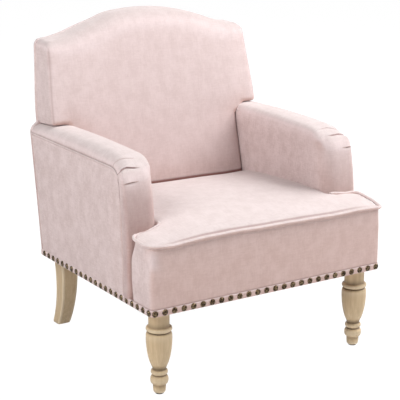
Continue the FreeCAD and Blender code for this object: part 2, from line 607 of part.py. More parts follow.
def make_legs(bolts):
    turned = turned_leg()
    front_x = HALF - FRONT_LEG_INSET
    front_leg = turned.translated(Vector(front_x, FRONT_LEG_INSET, 0))
    rear_leg = sabre_leg()
    both_sides("front_leg", front_leg.cut(bolts[1]))
    both_sides("rear_leg", rear_leg.cut(bolts[3]))
    plates = []
    plate_windows = []
    glides = []
    for (x, y), size in zip(leg_axes(), (50, 50, 44, 44)):
        plate = block(x - size / 2, x + size / 2, y - size / 2, y + size / 2, LEG_TOP, FRAME_BOTTOM)
        plate_windows.append(plate)
        plates.append(plate.cut(Part.makeCylinder(BOLT_RADIUS, 20, Vector(x, y, LEG_TOP - 5))))
        foot = (x, y) if y < 100 else (math.copysign(REAR_GLIDE_X, x), REAR_GLIDE_Y)
        glides.append(Part.makeCylinder(GLIDE_RADIUS, GLIDE_HEIGHT, Vector(foot[0], foot[1], 0)))
    pieces["leg_plates"] = Part.makeCompound(plates)
    pieces["leg_glides"] = Part.makeCompound(glides)
    sheet = block(-HALF + FRAME_INSET, HALF - FRAME_INSET, FRAME_INSET, SIDE_RAIL_REAR_Y,
                  FRAME_BOTTOM - 1.5, FRAME_BOTTOM - 0.1)
    covers = [pieces[n] for n in ("seat_front_band", "left_arm_cover", "right_arm_cover")]
    pieces["dust_cover"] = cut_all(sheet, plate_windows + covers)


# ---------------------------------------------------------------- build and write
frame_bolts = make_frame()
make_suspension()
make_seat()
make_arms()
make_back()
make_trim()
make_legs(frame_bolts)

whole = Part.makeCompound(list(pieces.values())).optimalBoundingBox(False)
to_origin = Vector(0, -(whole.YMin + whole.YMax) / 2, -whole.ZMin)
print("box", whole.XMin, whole.XMax, whole.YMin, whole.YMax, whole.ZMin, whole.ZMax, "shift", to_origin.y)
for name, shape in pieces.items():
    shape.translated(to_origin).exportStep("parts/" + name + ".step")
    print(name, "solids", len(shape.Solids), "valid", shape.isValid(), "cm3", round(shape.Volume / 1000, 1))
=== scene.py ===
import json
import math
import random

import bmesh
import bpy
import numpy as np
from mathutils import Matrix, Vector


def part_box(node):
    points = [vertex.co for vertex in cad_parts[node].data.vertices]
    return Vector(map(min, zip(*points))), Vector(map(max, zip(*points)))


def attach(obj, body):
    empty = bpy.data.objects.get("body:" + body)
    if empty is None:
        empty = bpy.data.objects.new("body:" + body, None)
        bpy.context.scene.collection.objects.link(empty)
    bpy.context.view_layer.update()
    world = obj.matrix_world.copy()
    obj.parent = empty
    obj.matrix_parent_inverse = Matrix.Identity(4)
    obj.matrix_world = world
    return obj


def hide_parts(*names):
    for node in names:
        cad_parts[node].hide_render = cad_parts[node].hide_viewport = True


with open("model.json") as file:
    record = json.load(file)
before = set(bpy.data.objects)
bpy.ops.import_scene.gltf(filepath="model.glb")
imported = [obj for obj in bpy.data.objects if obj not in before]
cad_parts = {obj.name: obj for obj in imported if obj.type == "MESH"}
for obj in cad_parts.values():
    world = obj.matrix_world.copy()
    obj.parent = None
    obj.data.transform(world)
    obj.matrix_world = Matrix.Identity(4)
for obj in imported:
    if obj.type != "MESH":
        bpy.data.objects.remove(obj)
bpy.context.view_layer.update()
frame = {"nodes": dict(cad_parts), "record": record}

# ---- the chair's own measures
# Shapes are worked out in millimetres with y = 0 on the front of the seat, and put_in_frame()
# turns them into metres in the row frame.
MM = 0.001
SEAT_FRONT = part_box("seat_front_band")[0].y


def mm_box(node):
    """Lowest and highest corner of a CAD node in millimetres, with y from the seat front."""
    low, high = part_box(node)
    shift = Vector((0, SEAT_FRONT, 0))
    return (low - shift) / MM, (high - shift) / MM


HALF = mm_box("outside_back_panel")[1].x + 2      # the cover swells a little past its panel
(_, _, BOX_BOTTOM), (_, EAR_DEPTH, _) = mm_box("seat_front_band")
(ARM_INNER, ARM_FRONT, _), (_, _, ARM_TOP) = mm_box("right_arm_cover")
_, (BACK_HALF, _, BACK_TOP) = mm_box("back_cover")
NAIL_ROW_Z = sum(corner.z for corner in mm_box("front_nailheads")) / 2
FRONT_NAIL_REACH = 323.4    # outermost nails of the front row, from the middle
TRIM_TOP = mm_box("front_nail_trim")[1].z
SEAT_WELT_Z = 374.0         # middle of the seat welt at the front, before its waves
EAR_RADII = (38, 9, 18, 36)  # front left, front right, rear right and rear left of the seat
ARM_OUTER = HALF - 2
ARM_REAR = 602.0
ARM_REAR_TOP = 548.0        # top of the arm at its rear end
ARM_TOP_RADIUS = 30.0
ARM_WELT_Z = 524.0          # welt along the outside of the arm
TURN_RADIUS = 58.0          # where the arm's front turns into its top
BACK_FOOT_Z = 555.0         # underside of the back over the arms
BACK_FRONT_Y = 516.0        # front of the back at that height
BACK_SLOPE = 0.2439         # how far the front of the back leans, per unit of height
BACK_TOP_HALF = 298.5       # half width of the back at its ears
EAR_Z = 766.0               # top of the back's ears, before the camel curve
REAR_LOW_Y = 568.0          # rear face at the foot of the upholstery
REAR_CURVE = np.polyfit([208.0, 351.0, 520.0, 823.5], [REAR_LOW_Y, 588.0, 614.0, 654.0], 3)
CELL = 5.0                  # mesh size of the padded pieces before subdivision


def smooth(value, start, end):
    """0 before start, 1 after end, and an even curve between."""
    t = np.clip((np.asarray(value, float) - start) / (end - start), 0, 1)
    return t * t * (3 - 2 * t)


def rear_y(z):
    return np.polyval(REAR_CURVE, np.asarray(z, float))


def back_front_y(z):
    return BACK_FRONT_Y + BACK_SLOPE * (np.asarray(z, float) - BACK_FOOT_Z)


def back_share(z):
    """Share of its full width that the back still has at a height."""
    return 1 - (1 - BACK_TOP_HALF / BACK_HALF) * smooth(z, BACK_FOOT_Z, EAR_Z)


def welt_z(x, y):
    """Height of the seat welt.  It waves along the front, climbs along each ear, and rises
    again where it runs inwards in front of the arms."""
    front = np.interp(x, [-335, -297, -274, -226, -189, -115, -34, 102, 179, 259, 300, 324, 335],
                      [374, 374, 373, 376, 378, 379, 377, 375, 372.5, 374, 372.5, 371, 372])
    left = np.interp(y, [0, 45, 64, 74, 85, 98], [0, 1, 3, 4, 5, 6])
    right = np.interp(y, [0, 10, 20, 37, 58, 82, 98], [0, 1, 4, 8.5, 11, 14, 16])
    inward = (HALF - np.abs(x)) * smooth(y, 40, 90)
    left = left + np.interp(inward, [8, 30, 45, 61, 77], [0, 1, 2.5, 8, 13])
    right = right + np.interp(inward, [8, 38, 72], [0, 2, 6])
    return front + np.where(np.asarray(x) < 0, left, right)


# ---- mesh tools
def put_in_frame(points):
    """Millimetres from the seat front into metres in the row frame."""
    placed = np.asarray(points, float) * MM
    placed[:, 1] += SEAT_FRONT
    return placed


def make_object(name, points, faces):
    mesh = bpy.data.meshes.new(name)
    mesh.from_pydata(put_in_frame(points).tolist(), [], [tuple(f) for f in faces])
    mesh.update()
    obj = bpy.data.objects.new(name, mesh)
    bpy.context.scene.collection.objects.link(obj)
    return obj


def vectors(obj, kind):
    """Place ("co") or "normal" of every point in the row frame."""
    flat = np.empty(len(obj.data.vertices) * 3)
    obj.data.vertices.foreach_get(kind, flat)
    return flat.reshape(-1, 3)


def read_points(obj):
    """The object's points in millimetres from the seat front."""
    points = vectors(obj, "co")
    points[:, 1] -= SEAT_FRONT
    return points / MM


def write_points(obj, points):
    obj.data.vertices.foreach_set("co", put_in_frame(points).ravel())
    obj.data.update()


def apply_modifiers(obj):
    graph = bpy.context.evaluated_depsgraph_get()
    mesh = bpy.data.meshes.new_from_object(obj.evaluated_get(graph))
    obj.modifiers.clear()
    old = obj.data
    obj.data = mesh
    mesh.name = obj.name
    bpy.data.meshes.remove(old)
    obj.vertex_groups.clear()


def shade_smooth(obj):
    obj.data.polygons.foreach_set("use_smooth", [True] * len(obj.data.polygons))
    obj.data.update()


def subdivide(obj):
    modifier = obj.modifiers.new("subdivision", "SUBSURF")
    modifier.levels = modifier.render_levels = 1
    apply_modifiers(obj)


def grid_box(low, high, cell=CELL):
    """Closed box whose six sides are grids of nearly square faces: (points, faces)."""
    counts = [max(1, round((high[i] - low[i]) / cell)) for i in range(3)]
    index = {}
    points = []
    faces = []

    def point(place):
        if place not in index:
            index[place] = len(points)
            points.append([low[i] + (high[i] - low[i]) * place[i] / counts[i] for i in range(3)])
        return index[place]

    for axis in range(3):
        a, b = (axis + 1) % 3, (axis + 2) % 3
        for end in (0, counts[axis]):
            for i in range(counts[a]):
                for j in range(counts[b]):
                    ring = []
                    for di, dj in ((0, 0), (1, 0), (1, 1), (0, 1)):
                        place = [0, 0, 0]
                        place[axis], place[a], place[b] = end, i + di, j + dj
                        ring.append(point(tuple(place)))
                    faces.append(ring if end else ring[::-1])
    return np.array(points), faces


def round_corners(points, axes, low, high, radii):
    """Presses the square corners of a section into arcs.  radii go round from the low corner:
    (low, low), (high, low), (high, high), (low, high)."""
    a, b = axes
    for (at_a, at_b), radius in zip(((0, 0), (1, 0), (1, 1), (0, 1)), radii):
        if radius <= 0:
            continue
        centre_a = high[0] - radius if at_a else low[0] + radius
        centre_b = high[1] - radius if at_b else low[1] + radius
        da = (points[:, a] - centre_a) * (1 if at_a else -1)
        db = (points[:, b] - centre_b) * (1 if at_b else -1)
        corner = (da > 1e-6) & (db > 1e-6)
        scale = np.maximum(da[corner], db[corner]) / np.hypot(da[corner], db[corner])
        points[corner, a] = centre_a + (points[corner, a] - centre_a) * scale
        points[corner, b] = centre_b + (points[corner, b] - centre_b) * scale
    return points


def rounded_box(low, high, *rounds, cell=CELL):
    """grid_box with arcs along its edges.  Each round is (axes of the section, radii)."""
    points, faces = grid_box(low, high, cell)
    for axes, radii in rounds:
        round_corners(points, axes, [low[a] for a in axes], [high[a] for a in axes], radii)
    return points, faces


def ring_faces(rings, sides, first=0, flip=False, caps=True):
    """Faces of a skin through rings of points that start at point number first."""
    faces = []
    for i in range(rings - 1):
        low, high = first + i * sides, first + (i + 1) * sides
        for j in range(sides):
            k = (j + 1) % sides
            faces.append([low + j, low + k, high + k, high + j])
    if caps:
        last = first + (rings - 1) * sides
        faces.append([first + j for j in range(sides)][::-1])
        faces.append([last + j for j in range(sides)])
    return [face[::-1] for face in faces] if flip else faces


def for_side(faces, sign):
    """Faces made for the right of the chair, turned over when the points are mirrored."""
    return faces if sign > 0 else [face[::-1] for face in faces]


def join(parts):
    """Several (points, faces) as one."""
    points = []
    faces = []
    count = 0
    for part_points, part_faces in parts:
        points.append(part_points)
        faces.extend([[i + count for i in f] for f in part_faces])
        count += len(part_points)
    return np.vstack(points), faces


def voxel_union(name, parts, relax):
    """One even closed skin round several overlapping closed forms."""
    obj = make_object(name, *join(parts))
    remesh = obj.modifiers.new("remesh", "REMESH")
    remesh.mode = "VOXEL"
    remesh.voxel_size = CELL * MM
    relaxing = obj.modifiers.new("relax", "SMOOTH")
    relaxing.factor = 0.5
    relaxing.iterations = relax
    apply_modifiers(obj)
    return obj


def even_out(obj, values, rounds=14):
    """Averages a value on every point with its neighbours, so that only the broad swell stays."""
    flat = np.empty(len(obj.data.edges) * 2, dtype=np.int32)
    obj.data.edges.foreach_get("vertices", flat)
    first, second = flat.reshape(-1, 2).T
    count = np.bincount(flat, minlength=len(values))[:, None]
    for _ in range(rounds):
        total = np.zeros_like(values)
        np.add.at(total, first, values[second])
        np.add.at(total, second, values[first])
        values = 0.5 * values + 0.5 * total / count
    return values


def inflate(obj, held, pressure, cap):
    """Swells a padded piece with a cloth simulation, held where `held` is near 1, and lets no
    point move further than cap millimetres."""
    frames, grades = 14, 5
    scene = bpy.context.scene
    group = obj.vertex_groups.new(name="held")
    steps = np.round(np.clip(held, 0, 1) * grades).astype(int)
    for step in range(1, grades + 1):
        chosen = np.nonzero(steps == step)[0].tolist()
        if chosen:
            group.add(chosen, step / grades, "REPLACE")
    cloth = obj.modifiers.new("cloth", "CLOTH")
    settings = cloth.settings
    settings.quality = 4
    settings.mass = 0.3
    settings.tension_stiffness = 20
    settings.compression_stiffness = 10
    settings.shear_stiffness = 8
    settings.bending_stiffness = 1.5
    settings.vertex_group_mass = "held"
    settings.use_pressure = True
    settings.uniform_pressure_force = pressure
    settings.effector_weights.gravity = 0
    cloth.point_cache.frame_start = 1
    cloth.point_cache.frame_end = frames
    before = read_points(obj)
    for step in range(1, frames + 1):
        scene.frame_set(step)
    move = read_points(obj.evaluated_get(bpy.context.evaluated_depsgraph_get())) - before
    length = np.maximum(np.linalg.norm(move, axis=1, keepdims=True), 1e-9)
    move *= cap * np.tanh(length / cap) / length
    move = even_out(obj, move)
    obj.modifiers.clear()
    obj.vertex_groups.clear()
    scene.frame_set(1)
    write_points(obj, before + move)


def distance_to_path(points, path):
    """Distance of each point from a run of straight pieces."""
    best = np.full(len(points), 1e9)
    for start, end in zip(path[:-1], path[1:]):
        start, end = np.asarray(start, float), np.asarray(end, float)
        along = end - start
        t = np.clip((points - start) @ along / (along @ along), 0, 1)
        best = np.minimum(best, np.linalg.norm(points - start - t[:, None] * along, axis=1))
    return best


def paint(obj, name, values):
    """Adds to a painted value between 0 and 1 on every point."""
    attribute = obj.data.attributes.get(name) or obj.data.attributes.new(name, "FLOAT", "POINT")
    before = np.empty(len(values))
    attribute.data.foreach_get("value", before)
    attribute.data.foreach_set("value", np.clip(before + values, 0, 1))


def press_seam(obj, path, depth, width, shade):
    """Sinks a stitched seam into the surface along a path and paints shade along it."""
    points = read_points(obj)
    near = np.clip(1 - distance_to_path(points, path) / width, 0, 1)
    write_points(obj, points - vectors(obj, "normal") * (depth * near ** 1.5)[:, None])
    paint(obj, "painted_shade", shade * near)


def tube(name, path, radius, sides, wobble, seed):
    """Round cord along a path in millimetres, with a slight hand-made unevenness."""
    rng = random.Random(seed)
    path = np.asarray(path, float)
    count = len(path)
    phase = rng.uniform(0, 6)
    points = []
    up = np.array([0.0, 0.0, 1.0])
    for i in range(count):
        along = path[min(i + 1, count - 1)] - path[max(i - 1, 0)]
        along /= np.linalg.norm(along)
        side = np.cross(along, up)
        if np.linalg.norm(side) < 0.2:
            side = np.cross(along, np.array([1.0, 0.0, 0.0]))
        side /= np.linalg.norm(side)
        top = np.cross(side, along)
        r = radius * (1 + wobble * math.sin(i * 0.9 + phase) * math.sin(i * 0.37))
        for j in range(sides):
            turn = 2 * math.pi * j / sides
            points.append(path[i] + r * (math.cos(turn) * side + math.sin(turn) * top))
    return make_object(name, points, ring_faces(count, sides))


def resample(path, step):
    """Points every step millimetres along a path."""
    path = np.asarray(path, float)
    lengths = np.concatenate([[0], np.cumsum(np.linalg.norm(np.diff(path, axis=0), axis=1))])
    wanted = np.linspace(0, lengths[-1], max(2, int(lengths[-1] / step)))
    return np.stack([np.interp(wanted, lengths, path[:, i]) for i in range(3)], axis=1)


def rounded_path(corners, radii, steps):
    """Flat (x, y) corners joined by straight runs and arcs."""
    path = [np.array(corners[0], float)]
    for i in range(1, len(corners) - 1):
        corner = np.array(corners[i], float)
        back = np.array(corners[i - 1], float) - corner
        on = np.array(corners[i + 1], float) - corner
        back /= np.linalg.norm(back)
        on /= np.linalg.norm(on)
        half = math.acos(float(np.clip(back @ on, -1, 1))) / 2
        run = radii[i - 1] / math.tan(half)
        start, end = corner + back * run, corner + on * run
        centre = corner + (back + on) / np.linalg.norm(back + on) * radii[i - 1] / math.sin(half)
        for k in range(steps + 1):
            spot = start + (end - start) * k / steps
            out = spot - centre
            path.append(centre + out / np.linalg.norm(out) * radii[i - 1])
    path.append(np.array(corners[-1], float))
    return np.array(path)


# ---- materials
class Nodes:
    """Short way to write a node tree."""

    def __init__(self, name):
        self.material = bpy.data.materials.new(name)
        self.material.use_nodes = True
        self.tree = self.material.node_tree
        self.shader = self.tree.nodes["Principled BSDF"]

    def add(self, kind, **values):
        node = self.tree.nodes.new(kind)
        for key, value in values.items():
            if hasattr(node, key):
                setattr(node, key, value)
            else:
                node.inputs[key.replace("_", " ")].default_value = value
        return node

    def plug(self, value, socket):
        """Feeds a socket from another socket, or sets it to a constant."""
        if isinstance(value, bpy.types.NodeSocket):
            self.tree.links.new(value, socket)
        else:
            socket.default_value = value

    def place(self):
        return self.add("ShaderNodeTexCoord").outputs["Object"]

    def painted(self, name):
        """Value that paint() left on the points."""
        return self.add("ShaderNodeAttribute", attribute_name=name).outputs["Fac"]

    def set(self, **values):
        """The shader's own sockets, by name."""
        for key, value in values.items():
            self.plug(value, self.shader.inputs[key.replace("_", " ")])

    def math(self, operation, a, b, clamp=False):
        node = self.add("ShaderNodeMath", operation=operation, use_clamp=clamp)
        self.plug(a, node.inputs[0])
        self.plug(b, node.inputs[1])
        return node.outputs[0]

    def times(self, a, b, clamp=False):
        return self.math("MULTIPLY", a, b, clamp)

    def plus(self, a, b, clamp=False):
        return self.math("ADD", a, b, clamp)

    def minus(self, a, b, clamp=False):
        return self.math("SUBTRACT", a, b, clamp)

    def blend(self, factor, a, b):
        """Colour a where factor is 0 and b where it is 1."""
        node = self.add("ShaderNodeMix", data_type="RGBA")
        for index, value in ((0, factor), (6, a), (7, b)):
            self.plug(value, node.inputs[index])
        return node.outputs[2]

    def mapped(self, scale, source):
        """Coordinates stretched by scale."""
        mapping = self.add("ShaderNodeMapping")
        mapping.inputs["Scale"].default_value = scale
        self.plug(source, mapping.inputs["Vector"])
        return mapping.outputs[0]

    def noise(self, vector, scale, detail=3.0, roughness=0.5):
        node = self.add("ShaderNodeTexNoise", Scale=scale, Detail=detail, Roughness=roughness)
        self.plug(vector, node.inputs["Vector"])
        return node.outputs["Fac"]

    def ramp(self, factor, stops):
        node = self.add("ShaderNodeValToRGB")
        elements = node.color_ramp.elements
        while len(elements) < len(stops):
            elements.new(0.5)
        for element, (place, colour) in zip(elements, stops):
            element.position = place
            element.color = colour
        self.plug(factor, node.inputs["Fac"])
        return node.outputs["Color"]

    def bump(self, height, strength, distance):
        node = self.add("ShaderNodeBump", Strength=strength, Distance=distance)
        self.plug(height, node.inputs["Height"])
        self.set(Normal=node.outputs[0])


def linear(*colour):
    """sRGB from 0 to 255 as linear colour with full alpha."""
    return (*(c / 255 / 12.92 if c <= 10 else ((c / 255 + 0.055) / 1.055) ** 2.4 for c in colour), 1)


# Painted shade for upright faces, and painted light for leaning and level faces: the colours mixed in
# and how far.
UPRIGHT_SHADE_PINK, UPRIGHT_SHADE_AMOUNT = linear(214, 174, 160), 0.4
LEANING_LIGHT_PINK, LEANING_LIGHT_AMOUNT = linear(240, 224, 224), 0.4
LEVEL_HIGHLIGHT_TINT, LEVEL_HIGHLIGHT_AMOUNT = linear(209, 204, 203), 0.4
PAINTED_SHADE_PINK = linear(128, 84, 78)


def fabric(name, light, dark, thread):
    """Short-pile chenille: crossed slubby threads, soft mottling where the pile lies differently,
    and a pale sheen.  thread is its width in millimetres."""
    n = Nodes(name)
    place = n.place()
    facing = n.add("ShaderNodeSeparateXYZ")
    n.plug(n.add("ShaderNodeNewGeometry").outputs["Normal"], facing.inputs[0])
    on_side, on_top = (n.times(n.minus(n.math("ABSOLUTE", facing.outputs[i], 0), 0.6), 6, True)
                       for i in (0, 2))

    def pick(factor, a, b):
        node = n.add("ShaderNodeMix", data_type="FLOAT")
        for index, value in ((0, factor), (2, a), (3, b)):
            n.plug(value, node.inputs[index])
        return node.outputs[0]

    def threads(axis, size, stretch):
        """Noise drawn out along the thread and fine across it."""
        across = [1 / (size * stretch * MM)] * 3
        across["XYZ".index(axis)] = 1 / (size * MM)
        return n.noise(n.mapped(tuple(across), place), 1.0, 2.0, 0.55)

    def crossed(size, stretch):
        """Warp and weft that follow the face they are on."""
        x, y, z = (threads(axis, size, stretch) for axis in "XYZ")
        return n.times(n.plus(pick(on_side, x, y), pick(on_top, z, y)), 0.5)

    weave = crossed(thread, 8)
    slubs = crossed(thread * 2.3, 8)
    patches = n.noise(n.mapped((1, 1, 0.8), place), 34, 4.0, 0.62)
    flecks = n.noise(place, 190, 3.0, 0.6)
    mix = n.plus(n.times(patches, 0.6), n.times(flecks, 0.25))
    mix = n.plus(mix, n.plus(n.times(weave, 0.4), n.times(slubs, 0.55)))
    base = n.blend(n.times(n.minus(mix, 0.77), 4.0, True), dark, light)
    # Painted shade on upright fronts, and painted light on leaning faces and tops, chosen by which
    # way each face points.
    forward = n.times(facing.outputs[1], -1.25, True)
    upward = n.times(facing.outputs[2], 3.2, True)
    upright = n.times(forward, n.minus(1.0, upward), True)
    base = n.blend(n.times(upright, UPRIGHT_SHADE_AMOUNT), base, UPRIGHT_SHADE_PINK)
    level = n.times(n.minus(facing.outputs[2], 0.45), 2.5, True)
    leaning = n.minus(upward, level, True)
    base = n.blend(n.times(leaning, LEANING_LIGHT_AMOUNT), base, LEANING_LIGHT_PINK)
    base = n.blend(n.times(level, LEVEL_HIGHLIGHT_AMOUNT), base, LEVEL_HIGHLIGHT_TINT)
    # Painted shade left by paint() in creases, seams, joins and other shaded spots, mixed towards a
    # deep pink.
    n.set(Base_Color=n.blend(n.painted("painted_shade"), base, PAINTED_SHADE_PINK),
          Roughness=n.plus(n.times(patches, 0.2), 0.72, True), Sheen_Weight=0.2, Sheen_Roughness=0.45,
          Sheen_Tint=(1.0, 0.97, 0.98, 1), Specular_IOR_Level=0.25)
    n.bump(n.plus(weave, n.times(flecks, 0.35)), 0.35, 0.6 * MM)
    return n.material


def wood(name):
    """Pale oak with a brushed grey-tan wash that stays darker in the grooves."""
    n = Nodes(name)
    place = n.place()
    warped = n.noise(n.mapped((1, 1, 0.25), place), 14, 2.0)
    grain = n.noise(n.mapped((170, 170, 7), place), 1.0, 5.0, 0.62)
    fine = n.noise(n.mapped((700, 700, 30), place), 1.0, 3.0, 0.6)
    streak = n.plus(n.times(grain, 0.7), n.times(fine, 0.3))
    tone = n.ramp(streak, [(0.30, linear(178, 151, 117)), (0.46, linear(190, 163, 127)),
                           (0.62, linear(204, 179, 143)), (0.8, linear(214, 193, 160))])
    washed = n.blend(n.times(warped, 0.35), tone, linear(168, 152, 126))
    dirty = n.blend(n.times(n.painted("groove"), 0.95, True), washed, linear(98, 80, 56))
    rubbed = n.blend(n.times(n.painted("worn"), 0.6, True), dirty, linear(226, 212, 186))
    n.set(Base_Color=rubbed, Roughness=n.plus(n.times(grain, 0.3), 0.38), Specular_IOR_Level=0.4)
    n.bump(streak, 0.18, 0.4 * MM)
    return n.material


def bronze(name):
    """Dark hammered bronze, with random brighter spots that are painted highlights."""
    n = Nodes(name)
    patina_and_highlight = n.noise(n.place(), 260, 3.0, 0.6)
    tone = n.ramp(patina_and_highlight, [(0.36, linear(36, 27, 20)), (0.52, linear(84, 68, 51)),
                           (0.72, linear(150, 132, 102))])
    n.set(Base_Color=tone, Roughness=n.plus(n.times(patina_and_highlight, 0.3), 0.12), Metallic=0.9)
    n.bump(patina_and_highlight, 0.4, 0.3 * MM)
    return n.material


def simple(name, light, dark, scale, roughness, metallic=0.0, stretch=(1, 1, 1), strength=0.2):
    """Plain finish for pieces that are mostly hidden: two tones of noise with a matching bump."""
    n = Nodes(name)
    grain = n.noise(n.mapped(stretch, n.place()), scale, 4.0, 0.6)
    tone = n.ramp(grain, [(0.3, linear(*dark)), (0.7, linear(*light))])
    n.set(Base_Color=tone, Roughness=n.plus(n.times(grain, 0.2), roughness - 0.1), Metallic=metallic)
    n.bump(grain, strength, 0.4 * MM)
    return n.material


FABRIC = fabric("blush_chenille", linear(209, 191, 189), linear(191, 170, 167), 1.3)
WELT_FABRIC = fabric("blush_welt", linear(214, 196, 193), linear(198, 176, 172), 0.9)
TRIM_FABRIC = fabric("blush_trim", linear(207, 187, 184), linear(188, 165, 161), 1.0)
WOOD = wood("washed_oak")
BRONZE = bronze("antique_bronze")
HIDDEN = {
    "frame_wood": simple("sawn_hardwood", (196, 160, 112), (160, 122, 78), 40, 0.7, 0.0, (8, 1, 8)),
    "fibreboard": simple("fibreboard", (150, 118, 84), (118, 90, 62), 300, 0.85),
    "foam": simple("foam", (236, 226, 196), (214, 200, 164), 500, 0.9, strength=0.5),
    "felt": simple("felt", (150, 146, 140), (110, 106, 100), 700, 0.95, strength=0.6),
    "webbing": simple("webbing", (150, 126, 98), (104, 84, 62), 900, 0.85, 0.0, (1, 1, 4), 0.6),
    "dust_cloth": simple("dust_cloth", (34, 34, 36), (14, 14, 15), 900, 0.9, strength=0.6),
    "spring_steel": simple("spring_steel", (120, 120, 124), (70, 68, 68), 120, 0.4, metallic=1.0),
    "hardware_steel": simple("zinc_plate", (190, 188, 176), (140, 136, 122), 160, 0.35, 1.0),
    "glide_plastic": simple("glide_plastic", (52, 46, 42), (30, 27, 25), 200, 0.5),
}


def finish_piece(obj, material, nodes=()):
    """Material, slot, body and the CAD nodes that the piece stands for."""
    obj.data.materials.clear()
    obj.data.materials.append(material)
    shade_smooth(obj)
    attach(obj, "root")
    if nodes:
        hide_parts(*nodes)


# ---- back
def camel_top(x):
    """Height of the back's top outline: a dome, hollow shoulders and level ears.  Both shoulders
    of the real chair sag a little, the left one more."""
    dome_radius, half_chord, shoulder_radius, ear_x, ear_z = 600.0, 205.0, 300.0, 285, 769.5
    given = np.asarray(x, float)
    x = np.abs(given)
    rise = math.sqrt(dome_radius ** 2 - half_chord ** 2)
    reach = (dome_radius + shoulder_radius) / dome_radius
    shoulder_x, shoulder_z = half_chord * reach, BACK_TOP - dome_radius + rise * reach
    dome = BACK_TOP - dome_radius + np.sqrt(np.maximum(dome_radius ** 2 - x ** 2, 0))
    shoulder = shoulder_z - np.sqrt(np.maximum(shoulder_radius ** 2 - (shoulder_x - x) ** 2, 0))
    level = np.where(x < half_chord, dome, np.where(x < ear_x, shoulder, ear_z))
    left_drop = 6.5 * smooth(-given, 85, 150)
    right_drop = 3.5 * smooth(given, 190, 280)
    return level - left_drop - right_drop


def arch(x, z):
    """Height of a point of the flat-topped back once its top follows the camel curve."""
    return z + (camel_top(x) - EAR_Z) * smooth(z, 600, EAR_Z - 12)


def make_back():
    """Back cushion: the part over the arms, the part between them, and the wing that joins them."""
    wide, deck, wing = BACK_HALF, ARM_INNER - 2, 266
    depth = 100.0
    foot, seat_level, overlap = BACK_FOOT_Z, 330, 640
    obj = voxel_union("back_cushion", [
        rounded_box((-wide, 0, foot), (wide, depth, EAR_Z),
                    ((1, 2), (8, 3, 8, 26)), ((0, 1), (10, 10, 6, 6)), ((0, 2), (4, 4, 22, 22))),
        rounded_box((-deck, 0, seat_level), (deck, depth, overlap), ((0, 1), (12, 12, 0, 0))),
        rounded_box((-wing, 0, 536), (wing, depth, 620),
                    ((0, 2), (20, 20, 0, 0)), ((0, 1), (10, 10, 0, 0))),
    ], relax=3)
    x, y, z = read_points(obj).T
    z = arch(x, z)
    z = z - 7.0 * y / depth * (1 - smooth(z, foot + 3, overlap)) * smooth(z, 500, foot - 3)
    x = x * back_share(z)
    front = back_front_y(z)
    y = front + y / depth * (rear_y(z) - 6 - front)
    write_points(obj, np.stack([x, y, z], axis=1))
    depth_in = y - front
    seam_in = 3     # the ear seams run this far inside the front edges
    from_seam = np.hypot(np.abs(x) - wide * back_share(z) + seam_in, depth_in - seam_in)
    from_seam = from_seam + 40 * smooth(-z, -foot, -foot + 20)
    held = np.maximum.reduce([smooth(depth_in, 22, 46), smooth(-z, -400, -370),
                              smooth(-from_seam, -18, -7)])
    inflate(obj, held, pressure=3.0, cap=5.0)
    subdivide(obj)
    x, y, z = read_points(obj).T
    facing = vectors(obj, "normal")
    # Painted shade: a little on the top where it faces up or to the right, low on the front, and dark
    # where the back meets the seat.
    crown_shade = 0.09 * smooth(np.maximum(facing[:, 0], facing[:, 2]), 0.4, 0.8) * (z > 570)
    low_front_shade = 0.12 * (1 - smooth(z, 450, overlap)) * (facing[:, 1] < -0.5)
    seat_join_shade = 0.85 * (1 - smooth(z - seat_top(x, y), 0, 5))
    paint(obj, "painted_shade", crown_shade + low_front_shade + seat_join_shade)
    heights = np.arange(foot + 6, EAR_Z - 12, 6)
    edge = wide * back_share(heights) - seam_in
    for sign in (-1, 1):
        seam = list(zip(sign * edge, back_front_y(heights) + seam_in, heights))
        press_seam(obj, seam, depth=0.9, width=4.0, shade=0.3)
    finish_piece(obj, FABRIC, ("back_cover", "back_foam"))


def make_outside_back():
    """Rear panel: as wide as the arms below, and as the back above them."""
    thick, radius, bow = 9.0, 20.0, 3.0
    points, faces = rounded_box((-HALF, 0, BOX_BOTTOM), (HALF, thick, EAR_Z),
                                ((0, 1), (2, 2, 0, 0)), ((1, 2), (2, 2, 5, 3)), cell=7)
    x, y, z = points.T
    roll = np.clip(z - (ARM_REAR_TOP - radius - 1), 0, radius)
    half = HALF - radius + np.sqrt(radius ** 2 - roll ** 2)
    half = np.maximum(half, BACK_HALF - 0.5) * back_share(z)
    across = x / HALF
    x = across * half
    near_top = np.clip((z - (EAR_Z - radius)) / radius, 0, 1)
    x = np.sign(x) * np.minimum(np.abs(x), half - radius * (1 - np.sqrt(1 - near_top ** 2)))
    z = arch(x, z)
    y = rear_y(z) - thick + y
    swell = bow * (1 - across ** 4) * smooth(z, BOX_BOTTOM, 300) * smooth(-z, -790, -700)
    y += swell * (y > rear_y(z) - 4)
    obj = make_object("outside_back", np.stack([x, y, z], axis=1), faces)
    subdivide(obj)
    x, _, z = read_points(obj).T
    # Painted shade on the narrow strips where the rear panel turns round its side corners below the
    # arms.
    paint(obj, "painted_shade", 0.3 * (np.abs(x) > HALF - 2.5) * (1 - smooth(z, 530, 545)))
    finish_piece(obj, FABRIC, ("outside_back_panel",))


# ---- arms
# Each pleat: distances in from the outer edge, places round the turn, depth and painted shade.
PLEATS = {
    "left": (((2, 9, 22, 47), (46, 39, 33, 26), 1.6, 0.35),
             ((-2, 3, 16, 39), (-12, -6, -3, -8), 4.0, 0.95),
             ((0, 6, 20, 26), (-47, -45.5, -44, -44), 2.4, 0.5)),
    "right": (((20, 28, 45, 64), (22, 27, 35, 34), 1.6, 0.35),
              ((-2, 28, 51), (-3, 1.8, 0.5), 3.6, 0.9),
              ((-4, 4, 16), (-42, -41, -41), 2.6, 0.7)),
}
# Painted shade low on the front of each arm, stronger on the left arm, which gets less light.
ARM_FRONT_SHADE = {"left": 0.32, "right": 0.12}


